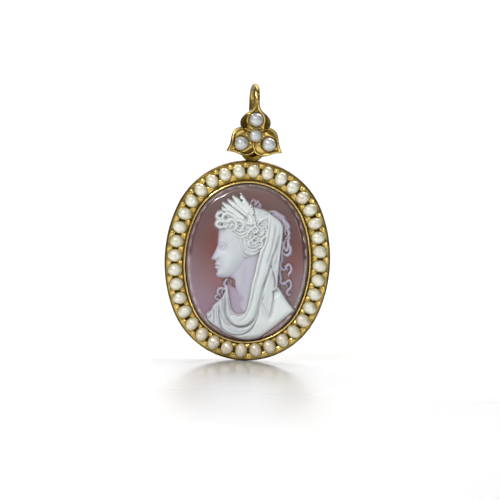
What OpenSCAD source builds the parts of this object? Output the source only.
// Cameo pendant: an oval gold frame with a ring of pearls holds a carved agate, and hangs from a
// gold bail with a three-leaf front. Millimetres. +X is to the viewer's right, -Y is the front, +Z is up.
// The origin is the inner top of the bail's loop, where the chain bears.

/* [Frame] */
// Width of the oval frame over its outside
frame_w = 39.2; // [36.5:0.1:42]
// Height of the oval frame over its outside
frame_h = 47.5; // [45:0.1:51]
// How far the frame's rear face lies behind the pendant's middle plane
frame_back = 1.9; // [1.6:0.1:2.6]
// How far the table between the pearls lies before the middle plane
table_front = 1.0; // [0.8:0.1:1.3]
// Width of the slope round the frame's outer front edge
edge_w = 0.3; // [0.1:0.05:0.3]
// Height of the slope round the frame's outer front edge
edge_drop = 0.45; // [0.2:0.05:0.8]
// Size of the bevel round the frame's rear edge
rear_bevel = 0.5; // [0.2:0.05:0.7]
// Width of the stone rim's wall
rim_wall = 0.5; // [0.3:0.05:0.7]
// Height of the stone rim above the table
rim_h = 0.4; // [0.3:0.05:0.5]
// Share of the rim's width that stands beside the stone, while the rest laps over its edge
rim_beside = 0.6; // [0.5:0.05:0.7]
// How far the stone's opening sits below the frame's centre
window_drop = 0.35; // [0:0.05:0.4]
// Width of the rear ledge that the stone rests on
ledge_w = 1.1; // [0.7:0.1:1.8]
// Thickness of the rear ledge
ledge_t = 0.9; // [0.6:0.1:1.2]
// Size of the bevel round the rear opening
opening_bevel = 0.2; // [0.1:0.05:0.3]

/* [Border pearls] */
// How far past the top the first pearl stands, as a share of the spacing
border_turn = 0.15; // [0:0.05:0.45]
// Distance from the frame's outline to the line through the pearls' centres
pearl_inset = 2.45; // [2.35:0.05:2.55]
// Size of a border pearl along the border
pearl_along = 2.9; // [2.5:0.05:3.1]
// Size of a border pearl across the border
pearl_across = 3.3; // [2.9:0.05:3.35]
// Size of a whole border pearl from front to back, before its flat is ground
pearl_deep = 2.9; // [2.4:0.1:3.4]
// Depth of a border pearl's flat below its widest place
pearl_flat = 0.75; // [0.5:0.05:0.85]
// How far the drilled seats are wider than the border pearls
seat_spare = 0.25; // [0.15:0.05:0.3]
// Gap between the border pearls and the stone's rim where they come closest
rim_clear = 0.05; // [0.05:0.05:0.3]
// Diameter of a grain, the raised bead of gold between two pearls
grain_d = 0.62; // [0.4:0.02:0.7]
// Gap between a grain and the pearls' seats beside it
grain_gap = 0.02; // [0.01:0.01:0.05]

/* [Stone] */
// Gap between the stone and the metal round it
stone_gap = 0.05; // [0.03:0.01:0.08]
// Height of the ground above the rear ledge
ground_t = 2.9; // [2.7:0.1:3.2]
// Width of the polished edge that slopes down under the rim
roll_w = 1.6; // [1.4:0.1:2]
// Drop of the polished edge from the ground to the stone's side
roll_drop = 1.2; // [1.15:0.05:1.3]
// How much the polished edge is rounded rather than flat
roll_round = 1.25; // [1.1:0.05:1.6]
// Greatest height of the carving above the ground
relief_h = 2.4; // [1.6:0.1:3]

/* [Bail loop] */
// Diameter of the loop's wire
wire_d = 1.5; // [1.2:0.05:1.8]
// Clear width inside the loop, from its front strand to its rear strand
loop_gap = 5; // [4.8:0.1:5.6]
// Turn of the bail about the vertical, as it hangs
bail_turn = 9.5; // [0:0.5:14]
// Height from the chain's seat down to the hinge line in the frame's ring
hinge_drop = 12.3; // [12.2:0.1:13.7]
// Diameter of the thin wire that bends through the frame's ring
bend_wire_d = 1.4; // [1.1:0.05:1.5]
// Height from the chain's seat down to the rear strand's elbow
elbow_drop = 5; // [4.5:0.1:6]
// Height from the top pearl up to the end of the front strand
strand_stop = 0.5; // [0.3:0.05:0.7]
// How far the arms' ends stand off from the top pearl's side
arm_spread = 0.1; // [0.1:0.05:0.3]
// Height from the top pearl up to where the two arms leave the front strand
arm_lift = 1.4; // [1.3:0.1:1.8]
// Height of the arms
arm_h = 1.9; // [1.7:0.1:2.1]
// Diameter of an arm where it leaves the front strand
arm_root_d = 1.05; // [0.8:0.05:1.2]
// Diameter of an arm at its end on the leaf
arm_end_d = 0.6; // [0.4:0.05:0.8]

/* [Leaf plate] */
// Height from the chain's seat down to the plate's centre
plate_drop = 10.7; // [10.5:0.1:10.9]
// Length of a leaf from the plate's centre to its tip
leaf_len = 7.7; // [7:0.1:8]
// Half width of a leaf across its two lobes
leaf_half_w = 3.6; // [3.2:0.05:3.9]
// How far the plate's back lies behind the middle of the front strand
plate_set = 0.65; // [0.6:0.05:0.7]
// Thickness of the plate, from its back to the top of the leaf rims
plate_t = 1.05; // [0.9:0.05:1.2]
// Depth of the dished leaves below their rims
dish_depth = 0.42; // [0.2:0.02:0.5]
// Width of a leaf's raised rim
leaf_rim = 0.36; // [0.25:0.02:0.5]
// Diameter of the hub that joins the three leaves under the centre pearl
hub_d = 3.8; // [3.7:0.1:4.2]
// Depth of the pearls' cups below the dished leaves
cup_depth = 0.2; // [0.1:0.05:0.25]
// Share of a bail pearl's diameter between its middle and its flat
bail_pearl_sink = 0.18; // [0.1:0.02:0.3]
// Distance of the hub's six grains from the centre pearl's side
grain_step = 0.5; // [0.35:0.05:0.6]
// Diameter of the top pearl
top_pearl_d = 3.4; // [3.2:0.1:3.6]
// Diameter of the centre pearl
centre_pearl_d = 3; // [2.8:0.1:3.2]
// Diameter of the two side pearls
side_pearl_d = 3.4; // [3.2:0.1:3.6]
// Distance from the plate's centre to the three outer pearls
pearl_reach = 3.8; // [3.7:0.05:4]

/* [Ring on the frame] */
// Outer radius of the frame's ring
ring_outer_r = 2.75; // [2.6:0.05:2.9]
// Radius of the hole in the frame's ring
ring_hole_r = 1.3; // [1.25:0.05:1.4]
// How deep the ring's foot is sunk into the frame's top
ring_sink = 0.4; // [0.3:0.05:0.5]
// Thickness of the web that closes the ring's hole below the bend
web_t = 0.5; // [0.3:0.05:0.6]

/* [Fits] */
// Gap round a pearl in its seat
pearl_gap = 0.05; // [0.03:0.01:0.08]
// Clearance between the ring's wire and the bend that it swings on
hinge_gap = 0.1; // [0.08:0.01:0.18]

/* [Hidden] */
$fn = 64;

// Number of pearls round the border
border_count = 36;

// The oval is four arcs: two side arcs of side_r and two end arcs of end_r, tangent at tangent_angle.
// Their centres make right triangles of 5 : 12 : 13 with the middle.
half_w = frame_w / 2;
half_h = frame_h / 2;
side_centre = 3 * (half_h - half_w);
end_centre = 5 / 12 * side_centre;
side_r = half_w + side_centre;
end_r = half_h - end_centre;
tangent_angle = atan2(end_centre, side_centre);

// How far shapes that are one piece run into each other
overlap = 0.2;

// Ring, hinge and heights
ring_wire_r = (ring_outer_r - ring_hole_r) / 2;
ring_line_r = (ring_outer_r + ring_hole_r) / 2;
ring_drop = hinge_drop + ring_line_r;
frame_top_drop = ring_drop + ring_outer_r - ring_sink;
frame_drop = frame_top_drop + half_h;
bend_r = ring_wire_r + hinge_gap + bend_wire_d / 2;
loop_r = (loop_gap + wire_d) / 2;

// Depths of the stone's seat, before the pendant's middle plane
ledge_top = -frame_back + ledge_t;
stone_back = ledge_top + stone_gap;
ground_z = ledge_top + ground_t;
rim_top = table_front + rim_h;
rim_inset = pearl_inset + pearl_across / 2 + window_drop + rim_clear;
pocket_inset = rim_inset + rim_wall * rim_beside;
opening_inset = rim_inset + rim_wall;
stone_inset = pocket_inset + stone_gap;
stone_w = half_w - stone_inset;
stone_h = half_h - stone_inset;
rim_lip = ground_z - roll_at(opening_inset - stone_inset) + stone_gap;

// Drop of the stone's polished edge, at a distance in from its side
function roll_at(rim) = rim < roll_w ? roll_drop * (1 - rim / roll_w) ^ roll_round : 0;

// Heights of the border pearls and their seats
pearl_z = table_front + pearl_gap;
seat_floor = pearl_z - pearl_flat - pearl_gap;
seat_d = max(pearl_along, pearl_across) + seat_spare;

// Distance of the grains from the pearls' centre line, where the end arcs bring the seats closest
pearl_line_r = end_r - pearl_inset;
half_pitch = 2 * quarter_len(pearl_inset) / border_count / pearl_line_r * 180 / PI;
grain_reach = (seat_d + grain_d) / 2 + grain_gap;
grain_offset = pearl_line_r * (1 - cos(half_pitch))
  + sqrt(grain_reach ^ 2 - (pearl_line_r * sin(half_pitch)) ^ 2);

// The leaf plate lies before the front strand's middle
plate_back_y = -loop_r + plate_set;
plate_front_y = plate_back_y - plate_t;
dish_y = plate_front_y + dish_depth;
bail_pearl_flat_y = dish_y + cup_depth;
cup_floor_t = plate_t - dish_depth - cup_depth - pearl_gap;
top_pearl_z = pearl_reach + top_pearl_d / 2 - plate_drop;

// Directions of the leaves, and of the pearls on them: the top one, the left one, the right one
leaf_turns = [90, 210, 330];

// Half outline of a leaf from its root to its tip: share of leaf_len, share of leaf_half_w
LEAF = [
  [0.00, 0.35],
  [0.10, 0.66],
  [0.25, 0.93],
  [0.35, 1.00],
  [0.47, 0.98],
  [0.57, 0.86],
  [0.66, 0.67],
  [0.74, 0.46],
  [0.84, 0.24],
  [1.00, 0.00]
];

// Runs the 2D profile drawn by the caller along the oval.
// The profile's x is minus the inset from the outline, its y is the height before the middle plane.
module along_oval() {
  far = [3 * side_centre, 4 * end_centre];
  for (turn = [0, 180]) rotate([0, 0, turn]) {
    intersection() {
      translate([-side_centre, 0, 0])
        rotate([0, 0, 180]) rotate_extrude() translate([side_r, 0]) children();
      linear_extrude(2 * frame_h, center = true)
        polygon([[-side_centre, 0], [far[0], -far[1]], far]);
    }
    intersection() {
      translate([0, end_centre, 0]) rotate_extrude() translate([end_r, 0]) children();
      linear_extrude(2 * frame_h, center = true)
        polygon([[0, end_centre], far, [far[0], 4 * far[1]], [-far[0], 4 * far[1]], [-far[0], far[1]]]);
    }
  }
}

// Place and heading on the line at the given inset, l along it from the top or bottom of a quarter.
function quarter_place(l, inset) =
  let (r_end = end_r - inset,
       r_side = side_r - inset,
       end_len = (90 - tangent_angle) * PI / 180 * r_end)
  l < end_len
    ? let (a = l / r_end * 180 / PI)
      [r_end * sin(a), end_centre + r_end * cos(a), a]
    : let (a = tangent_angle - (l - end_len) / r_side * 180 / PI)
      [-side_centre + r_side * cos(a), r_side * sin(a), 90 - a];

function quarter_len(inset) =
  ((90 - tangent_angle) * (end_r - inset) + tangent_angle * (side_r - inset)) * PI / 180;

// Place [x, y, heading] at a share of the whole way round, clockwise from the top.
function border_place(share, inset) =
  let (q_len = quarter_len(inset),
       l = share * 4 * q_len,
       q = floor(l / q_len),
       rest = l - q * q_len,
       p = quarter_place(q % 2 == 0 ? rest : q_len - rest, inset),
       sx = q < 2 ? 1 : -1,
       sy = q == 1 || q == 2 ? -1 : 1)
  [sx * p[0], sy * p[1], sx * sy > 0 ? p[2] + (q == 2 ? 180 : 0) : (q == 1 ? 180 : 360) - p[2]];

// Puts what is drawn flat, facing up, into the pendant's place, facing the front.
module in_frame(drop = 0) {
  translate([0, 0, -frame_drop - drop]) rotate([90, 0, 0]) children();
}

module seats_and_grains(seats) {
  for (i = [0 : border_count - 1]) {
    if (seats) {
      p = border_place((i + border_turn) / border_count, pearl_inset);
      translate([p[0], p[1], seat_floor]) cylinder(d = seat_d, h = rim_top);
    } else {
      g = border_place((i + border_turn + 0.5) / border_count, pearl_inset);
      for (side = [-1, 1]) {
        step = side * grain_offset;
        translate([g[0] + step * sin(g[2]), g[1] + step * cos(g[2]), table_front])
          sphere(d = grain_d, $fn = 24);
      }
    }
  }
}

// The ring on the frame's top. A web behind its wire's middle closes the hole below the bend.
module frame_ring() {
  bend_reach = bend_r + bend_wire_d / 2 + hinge_gap;
  translate([0, 0, -ring_drop])
    rotate([90, 0, 0])
      rotate_extrude() translate([ring_line_r, 0]) circle(r = ring_wire_r);
  difference() {
    translate([0, web_t, -ring_drop]) rotate([90, 0, 0]) cylinder(r = ring_line_r, h = web_t);
    translate([-ring_outer_r, 0, -hinge_drop])
      rotate([0, 90, 0]) cylinder(r = bend_reach, h = 2 * ring_outer_r);
  }
}

module frame() {
  bed_inset = rim_inset - window_drop - 1.5 * overlap;
  back_step = -frame_back + overlap / 4;
  color("goldenrod") {
    in_frame() {
      difference() {
        along_oval()
          polygon([
            [-rear_bevel, -frame_back], [0, -frame_back + rear_bevel], [0, table_front - edge_drop],
            [-edge_w, table_front], [-rim_inset + overlap, table_front],
            [-rim_inset + overlap, -frame_back]
          ]);
        seats_and_grains(true);
      }
      seats_and_grains(false);
    }
    in_frame(window_drop) {
      along_oval()
        polygon([
          [-bed_inset, back_step], [-bed_inset, seat_floor - overlap],
          [-pocket_inset, seat_floor - overlap], [-pocket_inset, ledge_top],
          [-pocket_inset - ledge_w, ledge_top], [-pocket_inset - ledge_w, back_step + opening_bevel],
          [-pocket_inset - ledge_w + opening_bevel, back_step]
        ]);
      along_oval() {
        polygon([
          [-rim_inset, seat_floor - 1.5 * overlap], [-rim_inset, rim_top - rim_wall / 2],
          [-opening_inset, rim_top - rim_wall / 2], [-opening_inset, rim_lip],
          [-pocket_inset, rim_lip], [-pocket_inset, seat_floor - 1.5 * overlap]
        ]);
        translate([-rim_inset - rim_wall / 2, rim_top - rim_wall / 2]) circle(d = rim_wall);
      }
    }
    frame_ring();
  }
}

module border_pearl(i) {
  p = border_place((i - 1 + border_turn) / border_count, pearl_inset);
  color("ivory")
    in_frame()
      translate([p[0], p[1], pearl_z])
        rotate([0, 0, -p[2]])
          difference() {
            scale([pearl_along / pearl_across, 1, pearl_deep / pearl_across])
              sphere(d = pearl_across);
            translate([-pearl_across, -pearl_across, -pearl_flat - pearl_deep])
              cube([2 * pearl_across, 2 * pearl_across, pearl_deep]);
          }
}

// The rim of a leaf is wider at its pointed tip, by this share.
tip_rim = 2.2;
function leaf_outline(rim) =
  let (across = leaf_half_w - rim,
       reach = leaf_len - rim - rim * tip_rim,
       half = [for (row = LEAF) [rim + row[0] * reach, row[1] * across]])
  concat(half, [for (i = [len(half) - 2 : -1 : 0]) [half[i][0], -half[i][1]]]);

// A round wire from a to b, whose radius goes from ra to rb.
module strand(a, b, ra, rb) {
  run = b - a;
  translate(a)
    rotate([0, acos(run[2] / norm(run)), atan2(run[1], run[0])])
      cylinder(h = norm(run), r1 = ra, r2 = rb);
}

// The leaf plate drawn flat, its back at height 0 and its front facing up.
module leaf_plate() {
  dish_z = plate_t - dish_depth;
  seat_z = cup_floor_t;
  difference() {
    union() {
      for (a = leaf_turns)
        rotate([0, 0, a]) linear_extrude(plate_t) polygon(leaf_outline(0));
      cylinder(d = hub_d, h = dish_z);
    }
    for (a = leaf_turns)
      rotate([0, 0, a])
        translate([0, 0, dish_z])
          linear_extrude(plate_t) polygon(leaf_outline(leaf_rim));
    translate([0, 0, seat_z]) cylinder(d = centre_pearl_d + 2 * pearl_gap, h = plate_t);
    for (a = leaf_turns)
      rotate([0, 0, a])
        translate([pearl_reach, 0, seat_z])
          cylinder(d = (a == leaf_turns[0] ? top_pearl_d : side_pearl_d) + 2 * pearl_gap, h = plate_t);
  }
  for (a = [0 : 60 : 300])
    rotate([0, 0, a])
      translate([centre_pearl_d / 2 + grain_step, 0, dish_z]) sphere(d = grain_d, $fn = 24);
}

module bail() {
  r = wire_d / 2;
  thin = bend_wire_d / 2;
  arm_z = top_pearl_z + arm_lift;
  arm_x = (top_pearl_d + arm_end_d) / 2 + arm_spread;
  elbow = [0, loop_r, -elbow_drop];
  bend_front = [0, -bend_r, -hinge_drop];
  bend_back = [0, bend_r, -hinge_drop];
  bend_root = [0, plate_back_y - cup_floor_t / 2 + thin, -plate_drop - thin];
  color("goldenrod")
    rotate([0, 0, bail_turn]) {
      translate([0, 0, -loop_gap / 2])
        rotate([90, 0, 90])
          rotate_extrude(angle = 180) translate([loop_r, 0]) circle(r = r);
      strand([0, -loop_r, -loop_gap / 2], [0, -loop_r, top_pearl_z + strand_stop], r, r);
      for (side = [-1, 1])
        strand([0, -loop_r, arm_z], [side * arm_x, dish_y, arm_z - arm_h],
               arm_root_d / 2, arm_end_d / 2);
      strand([0, loop_r, -loop_gap / 2], elbow, r, r);
      translate(elbow) sphere(r = r);
      strand(elbow, bend_back, r, thin);
      translate([0, 0, -hinge_drop])
        rotate([90, 0, 90])
          rotate([0, 0, 180])
            rotate_extrude(angle = 180) translate([bend_r, 0]) circle(r = thin);
      strand(bend_front, bend_root, thin, thin);
      translate(bend_front) sphere(r = thin);
      translate(bend_root) sphere(r = thin);
      translate([0, plate_back_y, -plate_drop]) rotate([90, 0, 0]) leaf_plate();
    }
}

// A pearl of the leaf plate, at the given direction and distance from the plate's centre.
module bail_pearl(d, toward, reach) {
  sink = d * bail_pearl_sink;
  color("ivory")
    rotate([0, 0, bail_turn])
      translate([reach * cos(toward), bail_pearl_flat_y, reach * sin(toward) - plate_drop])
        rotate([90, 0, 0])
          difference() {
            translate([0, 0, sink]) sphere(d = d);
            translate([-d, -d, -d]) cube([2 * d, 2 * d, d]);
          }
}

// The carving. Its outlines and lines are shares of the stone's half width and half height,
// x to the viewer's right and z up from the stone's centre.

// Profile, neck and breast
HEAD = [
  [-0.465, 0.43], [-0.475, 0.33], [-0.487, 0.225], [-0.53, 0.14], [-0.59, 0.05],
  [-0.575, 0.02], [-0.505, 0.01], [-0.49, -0.01], [-0.51, -0.035], [-0.485, -0.053],
  [-0.50, -0.078], [-0.465, -0.11], [-0.475, -0.15], [-0.45, -0.185], [-0.40, -0.20],
  [-0.30, -0.205], [-0.18, -0.225], [-0.165, -0.29], [-0.22, -0.31], [-0.28, -0.36],
  [-0.30, -0.50], [-0.25, -0.66], [-0.10, -0.72], [0.05, -0.66], [0.10, -0.50],
  [0.20, 0.00], [0.30, 0.30], [0.30, 0.50], [0.10, 0.55], [-0.20, 0.55]
];
// Dress and shoulders, down to the cut under the bust
DRESS = [
  [-0.62, -0.665], [-0.60, -0.63], [-0.54, -0.61], [-0.52, -0.56], [-0.45, -0.51],
  [-0.41, -0.48], [-0.36, -0.42], [-0.32, -0.32], [-0.28, -0.33], [-0.26, -0.45],
  [-0.235, -0.57], [-0.18, -0.635], [-0.105, -0.655], [-0.03, -0.64], [0.02, -0.59],
  [0.06, -0.50], [0.12, -0.35], [0.50, -0.28], [0.52, -0.29], [0.79, -0.572],
  [0.715, -0.622], [0.60, -0.70], [0.43, -0.82], [0.275, -0.915], [0.20, -0.94],
  [0.05, -0.955], [-0.10, -0.945], [-0.30, -0.885], [-0.45, -0.815], [-0.59, -0.74],
  [-0.60, -0.69]
];
// Veil, from the crown to the shoulder, with the long front band
VEIL = [
  [0.32, 0.625], [0.36, 0.61], [0.42, 0.58], [0.48, 0.55], [0.53, 0.50], [0.55, 0.43],
  [0.54, 0.30], [0.53, 0.15], [0.515, 0.00], [0.505, -0.10], [0.50, -0.28],
  [0.46, -0.33], [0.39, -0.365], [0.30, -0.41], [0.27, -0.48], [0.23, -0.55],
  [0.20, -0.62], [0.15, -0.71], [0.06, -0.77], [-0.04, -0.79], [-0.10, -0.74],
  [-0.10, -0.68], [-0.02, -0.65], [0.02, -0.59], [0.05, -0.50], [0.07, -0.40], [0.08, -0.30],
  [0.105, -0.20], [0.134, -0.10], [0.155, 0.00], [0.175, 0.08], [0.20, 0.18],
  [0.25, 0.25], [0.285, 0.32], [0.30, 0.48]
];
// Second fall of the veil, on the shoulder
FALL = [[0.29, -0.41], [0.265, -0.48], [0.315, -0.55], [0.385, -0.64], [0.43, -0.56], [0.45, -0.35]];
// Mass of the hair
HAIR = [
  [-0.53, 0.49], [-0.52, 0.455], [-0.485, 0.425], [-0.43, 0.42], [-0.35, 0.42],
  [-0.28, 0.38], [-0.23, 0.31], [-0.185, 0.26], [-0.135, 0.21], [-0.10, 0.15],
  [-0.06, 0.105], [0.00, 0.09], [0.07, 0.095], [0.15, 0.12], [0.21, 0.17], [0.26, 0.25],
  [0.30, 0.35], [0.33, 0.62], [0.29, 0.645], [0.20, 0.675], [0.10, 0.695], [0.03, 0.70],
  [-0.10, 0.66], [-0.30, 0.62], [-0.42, 0.63], [-0.46, 0.63], [-0.50, 0.60], [-0.52, 0.55]
];
// Ears of wheat: tip x, tip z, foot x, foot z
WHEAT = [
  [-0.42, 0.725, -0.10, 0.55],
  [-0.345, 0.77, -0.06, 0.62],
  [-0.265, 0.815, -0.02, 0.66],
  [-0.15, 0.83, 0.00, 0.68],
  [-0.05, 0.76, 0.03, 0.66]
];
// Curls: centre x, centre z
CURLS = [
  [-0.46, 0.575], [-0.43, 0.47], [-0.36, 0.555], [-0.25, 0.50], [-0.15, 0.45],
  [0.02, 0.34], [0.12, 0.36], [0.11, 0.27], [0.19, 0.25], [0.145, 0.475], [0.24, 0.48],
  [0.24, 0.38], [0.05, 0.74], [0.15, 0.735]
];
// Raised lines: the diadem's ribbon and the hair waved over the ear
RIBBON = [[-0.44, 0.66], [-0.20, 0.585], [-0.02, 0.50], [0.12, 0.50]];
WAVE = [[-0.10, 0.30], [-0.07, 0.19], [0.00, 0.13], [0.08, 0.12], [0.16, 0.15]];
// Loose ringlets: before the throat, and behind the veil
RINGLETS = [
  [[-0.32, -0.22], [-0.34, -0.30], [-0.41, -0.35], [-0.42, -0.41], [-0.47, -0.45], [-0.43, -0.49]],
  [[0.34, 0.635], [0.42, 0.625], [0.50, 0.59], [0.58, 0.54], [0.63, 0.47], [0.64, 0.40], [0.60, 0.31]],
  [[0.60, 0.33], [0.65, 0.28], [0.67, 0.20], [0.63, 0.14], [0.55, 0.12]],
  [[0.53, 0.06], [0.56, -0.03], [0.62, -0.05], [0.66, -0.01], [0.71, -0.03], [0.68, -0.13]],
  [[0.53, -0.03], [0.54, -0.20], [0.61, -0.24], [0.66, -0.22], [0.72, -0.25], [0.69, -0.36]]
];
// Folds cut into the dress and the veil
FOLDS = [
  [[-0.31, -0.36], [-0.32, -0.50], [-0.315, -0.62], [-0.28, -0.69], [-0.19, -0.775],
   [-0.08, -0.805], [0.03, -0.79], [0.12, -0.72], [0.18, -0.60]],
  [[-0.41, -0.55], [-0.41, -0.66], [-0.385, -0.77], [-0.34, -0.85], [-0.20, -0.90],
   [-0.05, -0.90], [0.07, -0.85], [0.15, -0.77], [0.20, -0.66], [0.24, -0.50]],
  [[-0.50, -0.60], [-0.49, -0.70], [-0.485, -0.77]],
  [[0.44, 0.50], [0.42, 0.20], [0.385, 0.00], [0.31, -0.20], [0.25, -0.40]],
  [[0.395, -0.04], [0.455, -0.14], [0.495, -0.20]]
];

// Squares along each side of the carving's grid
grid = 64;
// Widths on the stone, as shares of its half width: a steep edge, a soft edge, a fold,
// half of a strand, half of a curl
steep = 0.035 * stone_w;
soft = 0.16 * stone_w;
fold_w = 0.035 * stone_w;
strand_w = 0.05 * stone_w;
curl_r = 0.07 * stone_w;
// Heights on the carving, as shares of its greatest height: a fold's depth, a curl over the hair,
// the least height that counts as hair
fold_share = 0.12;
curl_share = 0.17;
hair_share = 0.5;

function on_stone(rows) = [for (row = rows) [row[0] * stone_w, row[1] * stone_h]];
function box_of(pts) = let (xs = [for (p = pts) p[0]], ys = [for (p = pts) p[1]])
  [min(xs), min(ys), max(xs), max(ys)];
function near_box(p, b, m) = p[0] > b[0] - m && p[0] < b[2] + m && p[1] > b[1] - m && p[1] < b[3] + m;

function foot(p, a, b) = a + (b - a) * max(0, min(1, ((p - a) * (b - a)) / ((b - a) * (b - a))));
function line_dist(p, pts) = min([for (i = [1 : len(pts) - 1]) norm(p - foot(p, pts[i - 1], pts[i]))]);
function edge_dist(p, pts) = min(line_dist(p, pts), norm(p - foot(p, pts[len(pts) - 1], pts[0])));
function edge_foot(p, pts) =
  let (feet = [for (i = [0 : len(pts) - 1]) foot(p, pts[i], pts[(i + 1) % len(pts)])],
       gaps = [for (f = feet) norm(p - f)],
       least = min(gaps))
  [for (i = [0 : len(feet) - 1]) if (gaps[i] == least) feet[i]][0];
function crosses(p, a, b) =
  (a[1] > p[1]) != (b[1] > p[1]) && p[0] < a[0] + (b[0] - a[0]) * (p[1] - a[1]) / (b[1] - a[1]);
function inside(p, pts) =
  len([for (i = [0 : len(pts) - 1]) if (crosses(p, pts[i], pts[(i + 1) % len(pts)])) 1]) % 2 == 1;
function rise(d, w) = d <= 0 ? 0 : d >= w ? 1 : sqrt(1 - (1 - d / w) ^ 2);

// Solid forms of the carving: outline, its box, height at the edge, height within, width of the edge
forms = [for (f = [
    [HAIR, 0.55, 0.80, 3 * steep],
    [VEIL, 0.45, 0.74, steep],
    [FALL, 0.50, 0.62, steep],
    [DRESS, 0.30, 0.52, 3 * steep],
    [HEAD, 0.20, 0.46, soft]
  ]) let (pts = on_stone(f[0])) [pts, box_of(pts), f[1], f[2], f[3]]];
// Lines of the carving: points, box, height on the line, half width
lines = concat(
  [for (r = WHEAT) let (pts = on_stone([[r[0], r[1]], [r[2], r[3]]]))
    [pts, box_of(pts), 0.97, 1.2 * strand_w]],
  [for (pts = [on_stone(RIBBON)]) [pts, box_of(pts), 0.88, strand_w]],
  [for (pts = [on_stone(WAVE)]) [pts, box_of(pts), 0.90, 1.2 * strand_w]],
  [for (r = RINGLETS) let (pts = on_stone(r)) [pts, box_of(pts), 0.34, strand_w]]
);
folds = [for (r = FOLDS) let (pts = on_stone(r)) [pts, box_of(pts)]];
curls = on_stone(CURLS);

function form_height(p, f) =
  near_box(p, f[1], 0) && inside(p, f[0])
    ? f[2] + (f[3] - f[2]) * rise(edge_dist(p, f[0]), f[4]) : 0;
function line_height(p, l) =
  near_box(p, l[1], l[3])
    ? let (d = line_dist(p, l[0])) d < l[3] ? l[2] * (1 - (d / l[3]) ^ 4) : 0
    : 0;
function curl_height(p) =
  max([for (c = curls) let (d = norm(p - c)) d < curl_r ? 1 - (d / curl_r) ^ 2 : 0]);
function fold_depth(p) =
  max([for (f = folds) near_box(p, f[1], fold_w)
    ? let (d = line_dist(p, f[0])) d < fold_w ? 1 - (d / fold_w) ^ 2 : 0 : 0]);

// Height of the carving over the ground at a place on the stone
function carved(p) =
  let (form = max([for (f = forms) form_height(p, f)]),
       body = form > 0 ? form - fold_share * fold_depth(p) : 0,
       curl = curl_height(p),
       curled = form > hair_share ? body + curl_share * curl : max(body, hair_share * curl),
       line = max([for (l = lines) line_height(p, l)]))
  relief_h * max(curled, line);

// Distance from the middle to the stone's side, toward the angle a
function stone_reach(a) =
  let (c = abs(cos(a)), s = abs(sin(a)), r_end = end_r - stone_inset, r_side = side_r - stone_inset)
  s * r_end * cos(tangent_angle) < c * (end_centre + r_end * sin(tangent_angle))
    ? sqrt(r_side ^ 2 - (s * side_centre) ^ 2) - c * side_centre
    : sqrt(r_end ^ 2 - (c * end_centre) ^ 2) + s * end_centre;

// Share of the way from the middle to the stone's side, and the direction, of a grid point
function grid_share(i, j) = max(abs(2 * i / grid - 1), abs(2 * j / grid - 1));
function grid_turn(u, v) =
  u == 0 && v == 0 ? 0
  : abs(u) >= abs(v) ? 45 * v / u + (u < 0 ? 180 : 0)
  : 90 - 45 * u / v + (v < 0 ? 180 : 0);
function grid_place(i, j) =
  let (t = grid_turn(2 * i / grid - 1, 2 * j / grid - 1),
       a = atan2(stone_h * sin(t), stone_w * cos(t)))
  grid_share(i, j) * stone_reach(a) * [cos(a), sin(a)];

// A grid point close to the edge of a form moves onto it, so that the edge is cut clean. Its height
// is read a little way off the edge, on its own side.
snap = 0.88 * stone_w / grid;
edge_off = 0.03;
function edge_near(p) =
  [for (f = forms) if (near_box(p, f[1], snap) && edge_dist(p, f[0]) < snap) f][0];
function stone_point(i, j) =
  let (p = grid_place(i, j),
       rim = (1 - grid_share(i, j)) * stone_reach(atan2(p[1], p[0])),
       f = rim > snap ? edge_near(p) : undef,
       q = f == undef ? p : edge_foot(p, f[0]),
       away = f == undef || norm(q - p) < 0.001 ? [0, 0]
         : (q - p) / norm(q - p) * (inside(p, f[0]) ? edge_off : -edge_off))
  [q[0], q[1], ground_z - roll_at(rim) + (rim > 0 ? carved(q + away) : 0)];

// The carved agate: its front is the grid, its side and back are plain.
module cameo_stone() {
  row = grid + 1;
  front = [for (j = [0 : grid]) for (i = [0 : grid]) stone_point(i, j)];
  border = concat(
    [for (i = [0 : grid - 1]) i],
    [for (j = [0 : grid - 1]) j * row + grid],
    [for (i = [grid : -1 : 1]) grid * row + i],
    [for (j = [grid : -1 : 1]) j * row]
  );
  n = len(border);
  first_back = row * row;
  back = [for (k = border) [front[k][0], front[k][1], stone_back]];
  cells = [for (j = [0 : grid - 1]) for (i = [0 : grid - 1]) j * row + i];
  // A cell is cut along the diagonal whose ends lie closer in height.
  function flat_pair(c) =
    abs(front[c][2] - front[c + row + 1][2]) < abs(front[c + 1][2] - front[c + row][2]);
  color("mistyrose")
    in_frame(window_drop)
      polyhedron(
        points = concat(front, back),
        faces = concat(
          [for (c = cells) flat_pair(c) ? [c, c + row + 1, c + 1] : [c, c + row, c + 1]],
          [for (c = cells) flat_pair(c) ? [c, c + row, c + row + 1] : [c + 1, c + row, c + row + 1]],
          [for (k = [0 : n - 1]) [border[k], border[(k + 1) % n], first_back + k]],
          [for (k = [0 : n - 1]) [border[(k + 1) % n], first_back + (k + 1) % n, first_back + k]],
          [[for (k = [0 : n - 1]) first_back + k]]
        )
      );
}

function border_name(i) = str("border_pearl_", i < 10 ? "0" : "", i);

frame();
cameo_stone();
bail();
bail_pearl(top_pearl_d, leaf_turns[0], pearl_reach);  // bail_pearl_top
bail_pearl(centre_pearl_d, 0, 0);  // bail_pearl_centre
bail_pearl(side_pearl_d, leaf_turns[1], pearl_reach);  // bail_pearl_left
bail_pearl(side_pearl_d, leaf_turns[2], pearl_reach);  // bail_pearl_right
for (i = [1 : border_count])
  border_pearl(i);
